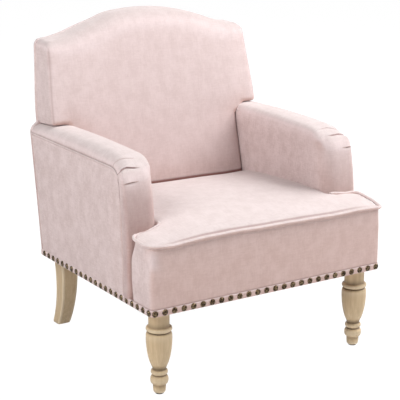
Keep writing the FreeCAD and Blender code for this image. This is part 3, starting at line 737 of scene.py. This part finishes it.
def arm_shape():
    """Right arm before padding: (points, faces)."""
    points, faces = rounded_box((ARM_INNER, ARM_FRONT, BOX_BOTTOM), (ARM_OUTER, ARM_REAR, ARM_TOP),
                                ((0, 2), (0, 0, ARM_TOP_RADIUS, 16)),
                                ((1, 2), (0, 0, 10, TURN_RADIUS)), ((0, 1), (36, 10, 4, 4)))
    x, y, z = points.T
    bulge, rear_flare, lean, bend, bend_z = 5.0, 2.0, 0.19, 30, 405
    outer = smooth(x, ARM_OUTER - 20, ARM_OUTER)
    x = x + bulge * outer * smooth(-y, -142, -118) * smooth(-z, -540, -500)
    x = x + rear_flare * outer * smooth(y, 540, 590) * smooth(z, 515, 530)
    leaned = lean * bend * np.log1p(np.exp((z - bend_z) / bend))
    y = y + leaned * (1 - smooth(y, 150, 330))
    y = y + (rear_y(z) - 5 - ARM_REAR) * smooth(y, 420, 590)
    z = z - 8 * ((y - 350) / 250) ** 2 * smooth(z, 440, ARM_TOP)
    return np.stack([x, y, z], axis=1), faces


def turn_place(points):
    """How far each point lies round the front turn of the arm: negative down the front face,
    positive along the top."""
    y, z = points[:, 1], points[:, 2]
    centre_y, centre_z = ARM_FRONT + 18 + TURN_RADIUS, ARM_TOP - TURN_RADIUS
    angle = np.arctan2(z - centre_z, centre_y - y)
    turned = (angle - math.pi / 4) * TURN_RADIUS
    below = (z - centre_z) - TURN_RADIUS * math.pi / 4
    beyond = (y - centre_y) + TURN_RADIUS * math.pi / 4
    return np.where(z < centre_z, below, np.where(y > centre_y, beyond, turned))


def pleat_arm(obj, pleats, front_shade):
    """Folds that gather the cover where it turns from the front of the arm into its top, with painted
    shade along each fold and low on the arm's front.
    """
    points = read_points(obj)
    normals = vectors(obj, "normal")
    across = ARM_OUTER - np.abs(points[:, 0])
    place = turn_place(points)
    outer = (points[:, 1] < ARM_FRONT + 160) & (points[:, 2] > 420)
    shift = np.zeros(len(points))
    shade = np.zeros(len(points))
    for distances, places, depth, darkness in pleats:
        gap = place - np.interp(across, distances, places)
        near, far = distances[0], distances[-1]
        ends = smooth(across, near - 6, near) * (1 - smooth(across, far - 4, far + 14))
        raised = np.where(gap > 0, np.exp(-gap / 9.0), 0)
        sunk = np.where(gap <= 0, np.exp(gap / 4.0), 0)
        shift += depth * ends * outer * (0.5 * raised - 0.75 * sunk)
        tight = 1 - smooth(across, far - 6, far + 5)
        shade += darkness * ends * tight * outer * np.exp(-((gap + 0.8) / 1.5) ** 2)
    shift *= smooth(across, -2, 6)
    write_points(obj, points + normals * shift[:, None])
    low_down = 1 - smooth(points[:, 2], 440, 525)
    in_front = 1 - smooth(points[:, 1] - ARM_FRONT, 15, 45)
    paint(obj, "painted_shade", 0.75 * shade + front_shade * low_down * in_front)


def refine(obj, chosen, cuts):
    """Splits the faces whose points are all chosen."""
    mesh = bmesh.new()
    mesh.from_mesh(obj.data)
    mesh.verts.ensure_lookup_table()
    edges = [e for e in mesh.edges if chosen[e.verts[0].index] and chosen[e.verts[1].index]]
    bmesh.ops.subdivide_edges(mesh, edges=edges, cuts=cuts, use_grid_fill=True, smooth=0.0)
    mesh.to_mesh(obj.data)
    mesh.free()
    obj.data.update()


def make_arms():
    points, faces = arm_shape()
    model = make_object("arm_model", points, faces)
    x, y, z = points.T
    held = np.maximum.reduce([smooth(x, ARM_OUTER - 6, ARM_OUTER - 1) * smooth(y, 120, 140),
                              smooth(-z, -330, -300), smooth(y, 560, 590)])
    inflate(model, held, pressure=2.5, cap=3.0)
    subdivide(model)
    done = read_points(model)
    quads = [list(p.vertices) for p in model.data.polygons]
    bpy.data.objects.remove(model)
    for side, sign in (("right", 1), ("left", -1)):
        obj = make_object(side + "_arm", done * np.array([sign, 1, 1]), for_side(quads, sign))
        spots = read_points(obj)
        x, y, z = spots.T
        out = np.abs(x) - ARM_INNER
        corner = (1 - smooth(out, 22, 42)) * smooth(z, 470, 500) * (1 - smooth(y, 190, 240))
        spots = spots + corner[:, None] * (even_out(obj, spots, 24) - spots)
        write_points(obj, spots)
        x, y, z = spots.T
        refine(obj, (y < ARM_FRONT + 110) & (z > 440) & (np.abs(x) > ARM_INNER + 12), 2)
        pleat_arm(obj, PLEATS[side], ARM_FRONT_SHADE[side])
        shade_beside_welt(obj)
        finish_piece(obj, FABRIC, (side + "_arm_cover", side + "_arm_pad"))


# Front edge of the outside arm panel at its foot and at its head, and the radius of its corner.
PANEL_FOOT_Y, PANEL_HEAD_Y, PANEL_RADIUS = 129.0, 143.0, 46


def outside_edge():
    """(y, z) run of the welt round the outside arm panel."""
    corners = [(PANEL_FOOT_Y, TRIM_TOP - 2), (PANEL_HEAD_Y, ARM_WELT_Z),
               (float(rear_y(ARM_WELT_Z)) - 4, ARM_WELT_Z)]
    return rounded_path(corners, [PANEL_RADIUS], 12)


def shade_beside_welt(obj, reach=3.2):
    """The narrow shadow where the cover tucks in along the arm welt."""
    points = read_points(obj)
    gap = distance_to_path(points[:, 1:], outside_edge())
    paint(obj, "painted_shade", 0.8 * np.exp(-(gap / reach) ** 2) * (np.abs(points[:, 0]) > ARM_OUTER - 4))


def make_outside_arm(side, sign):
    """Flat side panel of an arm, with the welt along its front and top."""
    foot_y, top, rear = PANEL_FOOT_Y, ARM_WELT_Z, 590.0
    thick, pillow, rim = 5.0, 2.0, 60
    points, faces = rounded_box((HALF - thick, foot_y, BOX_BOTTOM), (HALF, rear, top),
                                ((0, 1), (0, 3, 3, 0)), ((0, 2), (0, 0, 3, 0)),
                                ((1, 2), (0, 0, 0, PANEL_RADIUS)), cell=6)
    x, y, z = points.T
    to_front = y - foot_y
    rise = (z - BOX_BOTTOM) / (top - BOX_BOTTOM)
    y = y + (PANEL_HEAD_Y - foot_y) * rise * (1 - smooth(y, foot_y, 400))
    y = y + (rear_y(z) - 9 - rear) * smooth(y, 380, rear)
    inside = smooth(to_front, 0, rim) * smooth(rear - y, 0, rim)
    inside = inside * smooth(top - z, 0, rim) * smooth(z - BOX_BOTTOM, 0, rim)
    x = x + pillow * inside * (x > HALF - 1)
    points = np.stack([sign * x, y, z], axis=1)
    obj = make_object(side + "_outside_arm", points, for_side(faces, sign))
    subdivide(obj)
    shade_beside_welt(obj, 3.0)
    finish_piece(obj, FABRIC, (side + "_outside_arm_panel",))
    line = np.array([(sign * (HALF - 1.2), y, z) for y, z in outside_edge()])
    welt = tube(side + "_arm_welt_cord", resample(line, 4), 2.1, sides=12, wobble=0.05, seed=3 + sign)
    finish_piece(welt, FABRIC, (side + "_arm_welt",))


# ---- seat
def seat_top(x, y):
    """Height of the crowned seat."""
    roll = np.interp(y, [0, 6, 20, 45, 80, 140, 220, 320, 400, 460],
                     [2, 6, 11, 15, 19, 24, 26, 22, 15, 6])
    left = np.interp(y, [0, 45, 74, 98, 130, 200, 300, 400, 460], [0, 1, 4, 9, 18, 18, 13, 9, 6])
    right = np.interp(y, [0, 20, 58, 98, 130, 200, 300, 400, 460], [0, 4, 11, 16, 18, 18, 13, 9, 6])
    share = np.clip(np.abs(x) / HALF, 0, 1) ** 4
    return welt_z(x, 0) + roll * (1 - share) + np.where(x < 0, left, right) * share


def make_seat():
    """Seat cushion: the ears in front of the arms, the deck between them, and a piece that fills
    the corners where the two meet."""
    base, top = 330.0, 384.0
    wide, narrow, fill, rear = HALF + 1.5, ARM_INNER + 6, ARM_INNER + 18, 466.0
    front, back = -1.0, EAR_DEPTH + 1
    obj = voxel_union("seat_cushion", [
        rounded_box((-wide, front, base), (wide, back, top),
                    ((1, 2), (0, 0, 5, 5)), ((0, 2), (0, 0, 5, 5)), ((0, 1), EAR_RADII)),
        rounded_box((-narrow, 50, base), (narrow, rear, top), ((0, 2), (0, 0, 8, 8))),
        grid_box((-fill, 60, base), (fill, EAR_DEPTH + 10, top)),
    ], relax=2)
    x, y, z = read_points(obj).T
    tucked = 3.0 * (1 - smooth(z, top - 20, top - 8))     # stays behind the front band
    x = x - np.sign(x) * tucked * smooth(np.abs(x), 300, wide)
    y = y + tucked * (1 - smooth(y, front, 40))
    z = z + (seat_top(x, y) - top) * smooth(z, base + 6, top - 8)
    write_points(obj, np.stack([x, y, z], axis=1))
    beside = HALF - np.abs(x) + 200 * smooth(y, 98, 110)
    edge_gap = np.minimum.reduce([y, beside, EAR_DEPTH - y + 200 * smooth(-np.abs(x), -254, -240)])
    edge_gap = np.where(np.abs(x) < ARM_INNER - 6, np.minimum(y, rear - y + 10), edge_gap)
    held = np.maximum(smooth(-z, -368, -352), smooth(-edge_gap, -26, -6))
    inflate(obj, held, pressure=3.0, cap=6.0)
    subdivide(obj)
    beside_cord(obj, 4.6, 2.2, 0.55)
    x, y, z = read_points(obj).T
    # Painted shade where the seat runs in under the back.
    paint(obj, "painted_shade", 0.8 * smooth(y - back_front_y(z), -6, -3))
    finish_piece(obj, FABRIC, ("seat_top_cover", "seat_foam"))


def seat_perimeter(grow):
    """(x, y) path round the front of the seat from one arm to the other."""
    inner, outer, front, back = ARM_INNER + 8, HALF + grow, -grow, EAR_DEPTH + grow
    corners = [(-inner, back), (-outer, back), (-outer, front),
               (outer, front), (outer, back), (inner, back)]
    front_left, front_right, rear_right, rear_left = EAR_RADII
    return rounded_path(corners, [rear_left, front_left, front_right, rear_right], 12)


def beside_cord(obj, rise, reach, shade):
    """The narrow shadow that runs along the seat welt, rise millimetres above its middle."""
    points = read_points(obj)
    x, y, z = points.T
    nearest = np.minimum.reduce([HALF - np.abs(x), y, EAR_DEPTH - y])
    rim = np.where(np.abs(x) < ARM_INNER, y, nearest)
    shadow = np.exp(-((z - welt_z(x, y) - rise) / reach) ** 2) * (1 - smooth(rim, 6, 12))
    paint(obj, "painted_shade", shade * shadow)


def make_seat_welt():
    """Cord round the front of the seat, which slips under the arm at its left end."""
    path = resample(np.array([(x, y, 0) for x, y in seat_perimeter(2.8)]), 4)
    x, y = path[:, 0], path[:, 1]
    path[:, 2] = welt_z(x, np.clip(y, 0, None)) + 0.3 * np.sin(x / 19.0)
    path[:, 2] -= 3.0 * smooth(y, 90, 99) * smooth(-x, -322, -300)
    tuck = np.array([(4.0, 6.0, 7.0), (2.0, 3.0, 2.0)])
    path = resample(np.vstack([path[0] + tuck, path]), 3)
    welt = tube("seat_welt_cord", path, 4.0, sides=14, wobble=0.04, seed=11)
    finish_piece(welt, WELT_FABRIC, ("seat_welt",))


def make_front_band():
    """Front of the seat below the welt.  Its corners in plan change from the foot to the welt."""
    top, rear = SEAT_WELT_Z - 2, EAR_DEPTH
    box, faces = rounded_box((-HALF, 0, BOX_BOTTOM), (HALF, rear, top),
                             ((1, 2), (0, 0, 4, 4)), ((0, 2), (0, 0, 4, 4)))

    def in_plan(radii):
        return round_corners(box.copy(), (0, 1), (-HALF, 0), (HALF, rear), radii)

    low, middle, high = in_plan((12, 4, 20, 20)), in_plan((13, 4, 10, 10)), in_plan(EAR_RADII)
    up = smooth(box[:, 2], 208, 285)[:, None]
    over = smooth(box[:, 2], 315, top)[:, None]
    points = low * (1 - up) + middle * up
    points = points * (1 - over) + high * over
    x, y, z = points.T
    z = z + (welt_z(x, y) - SEAT_WELT_Z - 2) * (z - BOX_BOTTOM) / (top - BOX_BOTTOM)
    obj = make_object("seat_front", np.stack([x, y, z], axis=1), faces)
    bottom_hold = smooth(-z, -(TRIM_TOP + 8), -(TRIM_TOP + 1))
    top_hold = smooth(box[:, 2], top - 12, top - 4)
    inflate(obj, np.maximum(bottom_hold, top_hold), pressure=2.5, cap=4.0)
    subdivide(obj)
    height = read_points(obj)[:, 2]
    # Painted shade in the fold just above the nail trim.
    paint(obj, "painted_shade", 0.55 * np.exp(-((height - TRIM_TOP - 0.8) / 1.6) ** 2))
    beside_cord(obj, -4.8, 2.6, 0.8)
    finish_piece(obj, FABRIC, ("seat_front_band", "front_border_pad"))


# ---- nail trim
NAIL_NODES = ("front_nailheads", "left_nailheads", "right_nailheads")
NAIL_MARGIN = 6.2           # from the end of a CAD row to the middle of its last nail


def make_nail_trim():
    """Folded band round the foot of the upholstery, pressed in under each nail."""
    proud = 0.4
    side_x, rear = HALF + proud, REAR_LOW_Y - 4
    corners = [(-side_x, rear), (-side_x, -proud), (side_x, -proud), (side_x, rear)]
    path = rounded_path(corners, [12, 6], 10)
    path = resample(np.array([(x, y, 0) for x, y in path]), 3)[:, :2]
    ahead = np.gradient(path, axis=0)
    ahead /= np.linalg.norm(ahead, axis=1, keepdims=True)
    outward = np.stack([-ahead[:, 1], ahead[:, 0]], axis=1)
    if outward[0, 0] > 0:
        outward = -outward
    height = TRIM_TOP - BOX_BOTTOM
    section = [(-2.5, 0.5), (0.6, 0), (1.5, 1.0), (1.7, height * 0.3), (1.7, height * 0.5),
               (1.7, height * 0.75), (1.5, height - 1.2), (0.8, height - 0.1), (-0.5, height),
               (-2.5, height - 0.5)]
    nails = np.array([spot for node in NAIL_NODES for spot in nail_centres(node)])
    points = []
    for spot, away in zip(path, outward):
        gap = np.min(np.hypot(nails[:, 0] - spot[0], nails[:, 1] - spot[1]))
        dimple = 1.0 * math.exp(-(gap / 7.5) ** 2)
        for push, rise in section:
            pressed = push - dimple if push > 1 else push
            points.append((*(spot + away * pressed), BOX_BOTTOM + rise))
    obj = make_object("nail_trim_band", points, ring_faces(len(path), len(section)))
    nodes = [node.replace("heads", "_trim") for node in NAIL_NODES]
    finish_piece(obj, TRIM_FABRIC, nodes)


def nail_centres(node):
    """(x, y) of the nail heads in a CAD node, in a row along the side that they stand on."""
    low, high = mm_box(node)
    if high.x - low.x > high.y - low.y:
        return [(x, 0.0) for x in np.linspace(-FRONT_NAIL_REACH, FRONT_NAIL_REACH, 26)]
    x = HALF if low.x > 0 else -HALF
    return [(x, y) for y in np.linspace(low.y + NAIL_MARGIN, high.y - NAIL_MARGIN, 22)]


def make_nails(node):
    """Row of slightly hammered dome heads."""
    rng = random.Random(len(node))
    radius, height, sides = 7.8, 4.0, 18
    angles = [0.0, 0.12, 0.35, 0.6, 0.85, 1.1, 1.35]
    points = []
    faces = []
    for x, y in nail_centres(node):
        on_front = abs(y) < 1
        dents = [(rng.uniform(-3, 3), rng.uniform(-3, 3), rng.uniform(0.2, 0.5)) for _ in range(5)]
        rings = [(radius * math.cos(a), height * math.sin(a)) for a in angles]
        rings = [(radius, -1.5)] + rings + [(0.01, height)]
        start = len(points)
        for ring, push in rings:
            for j in range(sides):
                turn = 2 * math.pi * j / sides
                across, up = ring * math.cos(turn), ring * math.sin(turn)
                dent = sum(deep * math.exp(-((across - dx) ** 2 + (up - dz) ** 2) / 3.0)
                           for dx, dz, deep in dents)
                out = 1.0 + push - (dent if push > 0.8 else 0)
                if on_front:
                    points.append((x + across, -out, NAIL_ROW_Z + up))
                else:
                    points.append((x + math.copysign(out, x), y + across, NAIL_ROW_Z + up))
        faces += ring_faces(len(rings), sides, start, flip=not on_front and x < 0)
    obj = make_object(node.replace("heads", "_row"), points, faces)
    finish_piece(obj, BRONZE, (node,))


# ---- legs
def leg_profile():
    """(height, radius) down the turned leg: neck, ring, vase, collar, bulb and foot."""
    def bead(middle, half_height, base, swell):
        return [(middle + half_height * math.cos(a), base + swell * math.sin(a))
                for a in np.linspace(0, math.pi, 13)]

    shape = [(207.5, 25.0), (171.0, 25.0), (169.5, 25.4)]
    shape += bead(163.0, 5.4, 26.4, 4.9)
    shape += [(157.0, 26.2), (155.2, 26.2), (154.2, 27.6), (153.0, 29.4)]
    vase = np.linspace(151.5, 66, 36)
    shape += zip(vase, np.interp(vase, [63.5, 68, 79, 91, 103.5, 116, 128, 138, 147, 152],
                                 [15.9, 17.6, 22.4, 25.8, 28.3, 30.0, 30.9, 31.3, 31.2, 30.2]))
    shape += [(64, 16.0), (62.2, 15.9)]
    shape += bead(54.9, 5.6, 16.4, 4.0)
    shape += [(48.2, 16.2), (46.8, 16.4)]
    shape += [(35.5 + 10.6 * math.cos(a), 16.2 + 5.6 * math.sin(a))
              for a in np.linspace(0.12, math.pi - 0.12, 15)]
    shape += [(24.2, 15.8), (21, 15.6), (14, 15.3), (8, 15.0), (5.2, 14.4), (3.6, 13.0),
              (3.0, 11.5), (3.0, 0.0)]
    return [(207.5, 0.0)] + shape


def make_front_leg(side):
    """Turned leg, painted where the wash gathers in its grooves and wears off its rings."""
    profile = leg_profile()
    fine = []
    for (z0, r0), (z1, r1) in zip(profile[:-1], profile[1:]):
        steps = max(1, int(math.hypot(z1 - z0, r1 - r0) / 2.2))
        fine += [(z0 + (z1 - z0) * k / steps, r0 + (r1 - r0) * k / steps) for k in range(steps)]
    fine = np.array(fine + [profile[-1]])
    radius = fine[:, 1].copy()
    radius[1:-1] = np.convolve(radius, [0.25, 0.5, 0.25], "valid")
    low, high = mm_box(side + "_front_leg")
    centre = (low + high) / 2
    sides = 56
    points = []
    groove = []
    worn = []
    wide = np.convolve(np.pad(fine[:, 1], 7, "edge"), np.ones(15) / 15, "valid")
    for (z, _), r, mean in zip(fine, radius, wide):
        for j in range(sides):
            turn = 2 * math.pi * j / sides
            points.append((centre.x + r * math.cos(turn), centre.y + r * math.sin(turn), z))
            groove.append((mean - r) * 0.35)
            worn.append((r - mean) * 0.25)
    faces = ring_faces(len(fine), sides, flip=True, caps=False)
    obj = make_object(side + "_turned_leg", points, faces)
    paint(obj, "groove", np.array(groove))
    paint(obj, "worn", np.array(worn))
    mesh = bmesh.new()
    mesh.from_mesh(obj.data)
    bmesh.ops.remove_doubles(mesh, verts=mesh.verts, dist=0.00001)
    bmesh.ops.recalc_face_normals(mesh, faces=mesh.faces)
    mesh.to_mesh(obj.data)
    mesh.free()
    finish_piece(obj, WOOD, (side + "_front_leg",))


def rounded_square(x0, x1, y0, y1, radius, flat_steps):
    """Points round a rectangle with eased corners: (x, y, 1 on a corner)."""
    ring = []
    arcs = [(x1 - radius, y0 + radius, -90), (x1 - radius, y1 - radius, 0),
            (x0 + radius, y1 - radius, 90), (x0 + radius, y0 + radius, 180)]
    for n, (cx, cy, start) in enumerate(arcs):
        for k in range(5):
            turn = math.radians(start + 22.5 * k)
            ring.append((cx + radius * math.cos(turn), cy + radius * math.sin(turn), 1.0))
        nx, ny, next_start = arcs[(n + 1) % 4]
        turn = math.radians(next_start)
        end = (nx + radius * math.cos(turn), ny + radius * math.sin(turn))
        last = ring[-1]
        for k in range(1, flat_steps):
            t = k / flat_steps
            ring.append((last[0] + (end[0] - last[0]) * t, last[1] + (end[1] - last[1]) * t, 0.0))
    return ring


def make_rear_leg(side, sign):
    """Square leg that tapers and sweeps out to the rear, with eased edges."""
    points = []
    worn = []
    groove = []
    rows = 60
    for down in np.arange(rows + 1) / rows:
        z = 209.0 - 206.0 * down
        inner = 253.0 + 1.0 * down
        outer = 301.0 - 12.0 * down
        front = 514.0 - 6.0 * down + 58.0 * down ** 2.4
        rear = front + 47.0 - 13.0 * down
        ease = 3.0 + 2.5 * smooth(down, 0.97, 1.0)
        for x, y, corner in rounded_square(inner, outer, front, rear, float(ease), 8):
            points.append((sign * x, y, z))
            worn.append(corner * 0.8)
            # Darker towards the top of the leg, just under the seat.
            groove.append(0.35 * (1 - down) ** 6)
    faces = ring_faces(rows + 1, len(points) // (rows + 1), flip=sign > 0)
    obj = make_object(side + "_sabre_leg", points, faces)
    paint(obj, "groove", np.array(groove))
    paint(obj, "worn", np.array(worn))
    finish_piece(obj, WOOD, (side + "_rear_leg",))


# ---- build
make_back()
make_outside_back()
make_arms()
for side, sign in (("left", -1), ("right", 1)):
    make_outside_arm(side, sign)
    make_front_leg(side)
    make_rear_leg(side, sign)
make_seat()
make_seat_welt()
make_front_band()
make_nail_trim()
for row in NAIL_NODES:
    make_nails(row)

slots = {row["node"]: row["material_slot"] for row in frame["record"]["subparts"]}
for name, node in frame["nodes"].items():
    if slots[name] in HIDDEN:
        node.data.materials.clear()
        node.data.materials.append(HIDDEN[slots[name]])

# ---- stage, light and camera
scene = bpy.context.scene


def stage_plane(name, height, albedo, glow):
    """Plain level sheet 18 m across."""
    mesh = bpy.data.meshes.new(name)
    corners = [(-9, -9, height), (9, -9, height), (9, 9, height), (-9, 9, height)]
    mesh.from_pydata(corners, [], [(0, 1, 2, 3)])
    obj = bpy.data.objects.new(name, mesh)
    scene.collection.objects.link(obj)
    n = Nodes(name)
    n.set(Base_Color=(albedo, albedo, albedo, 1), Roughness=0.95, Specular_IOR_Level=0.0,
          Emission_Color=(1, 1, 1, 1), Emission_Strength=glow)
    mesh.materials.append(n.material)
    return obj


# The white floor shows hardly any shadow.  A matt reflector just under it, which the camera does
# not see, sends the light of the lamps back up to the chair.
floor = stage_plane("floor", 0.0, 0.08, 0.99)
floor.visible_diffuse = False
floor.visible_glossy = False
floor.visible_shadow = False
reflector = stage_plane("reflector", -0.004, 0.95, 0.0)
reflector.visible_camera = False
reflector.visible_glossy = False

world = bpy.data.worlds.new("studio")
scene.world = world
world.use_nodes = True
background = world.node_tree.nodes["Background"]
background.inputs["Color"].default_value = (1.0, 1.0, 1.0, 1)
background.inputs["Strength"].default_value = 1.0
world.cycles_visibility.diffuse = False
scene.view_settings.view_transform = "Standard"


def area_light(name, place, size, power):
    """Square soft box aimed at the middle of the chair."""
    data = bpy.data.lights.new(name, "AREA")
    data.shape = "SQUARE"
    data.size = size
    data.energy = power
    obj = bpy.data.objects.new(name, data)
    obj.location = place
    obj.rotation_euler = (Vector((0, 0, 0.4)) - Vector(place)).to_track_quat("-Z", "Y").to_euler()
    scene.collection.objects.link(obj)


area_light("left_high", (-2.6, -0.8, 2.8), 1.8, 76)
area_light("right_high", (2.2, -0.8, 2.9), 3.0, 194)
area_light("rear_fill", (0.4, 3.6, 1.6), 2.5, 60)
area_light("left_low", (-3.2, -0.2, 1.5), 2.0, 23)

camera_data = bpy.data.cameras.new("camera")
camera = bpy.data.objects.new("camera", camera_data)
scene.collection.objects.link(camera)
scene.camera = camera
camera_data.sensor_width = 36
camera_data.lens = 124.47
camera_data.clip_end = 60
camera.location = (-1.8337, -2.5621 + SEAT_FRONT, 1.3189)
yaw, pitch = math.radians(32.495), math.radians(15.632)
look = Vector((math.sin(yaw) * math.cos(pitch), math.cos(yaw) * math.cos(pitch), -math.sin(pitch)))
camera.rotation_euler = look.to_track_quat("-Z", "Y").to_euler()
